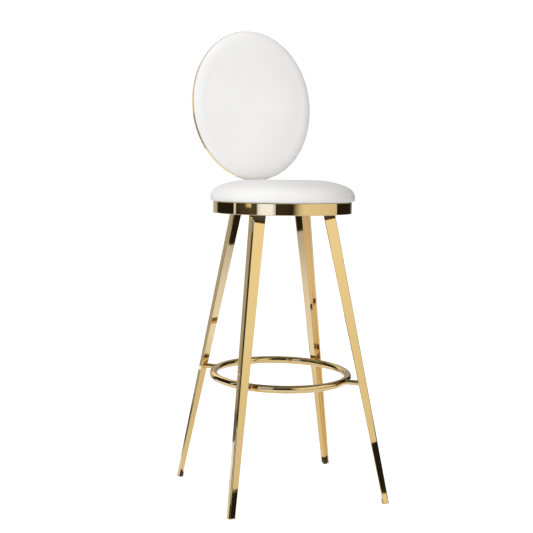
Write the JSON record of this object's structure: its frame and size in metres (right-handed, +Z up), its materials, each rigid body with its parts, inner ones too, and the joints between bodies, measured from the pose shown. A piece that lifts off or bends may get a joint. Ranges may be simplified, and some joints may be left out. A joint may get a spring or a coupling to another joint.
{
  "type": "bar stool",
  "caption": "Bar stool: round padded seat in a polished metal hoop, oval padded back on a strap, splayed angle-section legs and a ring footrest.",
  "frame": {"origin": "middle of the stool's overall footprint box, on the floor", "axes": "+Z up from the floor, the sitter faces -Y, +X is across the seat"},
  "size_m": [0.4196, 0.4756, 1.1426],
  "materials": {
    "gold_metal": "polished",
    "black_paint": "satin",
    "white_leather": "satin",
    "plywood": "matte",
    "dust_cover": "matte",
    "black_plastic": "satin",
    "screw_steel": "satin"
  },
  "bodies": {
    "root": {"seat_hoop": "gold_metal", "footrest_ring": "gold_metal", "back_rim": "gold_metal", "back_strap": "gold_metal", "leg_front_left": "gold_metal", "leg_plate_front_left": "gold_metal", "footrest_stub_front_left": "gold_metal", "leg_front_right": "gold_metal", "leg_plate_front_right": "gold_metal", "footrest_stub_front_right": "gold_metal", "leg_back_left": "gold_metal", "leg_plate_back_left": "gold_metal", "footrest_stub_back_left": "gold_metal", "leg_back_right": "gold_metal", "leg_plate_back_right": "gold_metal", "footrest_stub_back_right": "gold_metal", "seat_pad": "white_leather", "back_pad": "white_leather", "back_rear_panel": "white_leather", "seat_board": "plywood", "back_board": "plywood", "seat_dust_cover": "dust_cover", "seat_flange_ring": "black_paint", "glide_front_left": "black_plastic", "seat_screw_front_left_1": "screw_steel", "seat_screw_front_left_2": "screw_steel", "glide_front_right": "black_plastic", "seat_screw_front_right_1": "screw_steel", "seat_screw_front_right_2": "screw_steel", "glide_back_left": "black_plastic", "seat_screw_back_left_1": "screw_steel", "seat_screw_back_left_2": "screw_steel", "glide_back_right": "black_plastic", "seat_screw_back_right_1": "screw_steel", "seat_screw_back_right_2": "screw_steel", "back_screw_1": "screw_steel", "back_screw_2": "screw_steel", "back_screw_3": "screw_steel"}
  },
  "joints": []
}
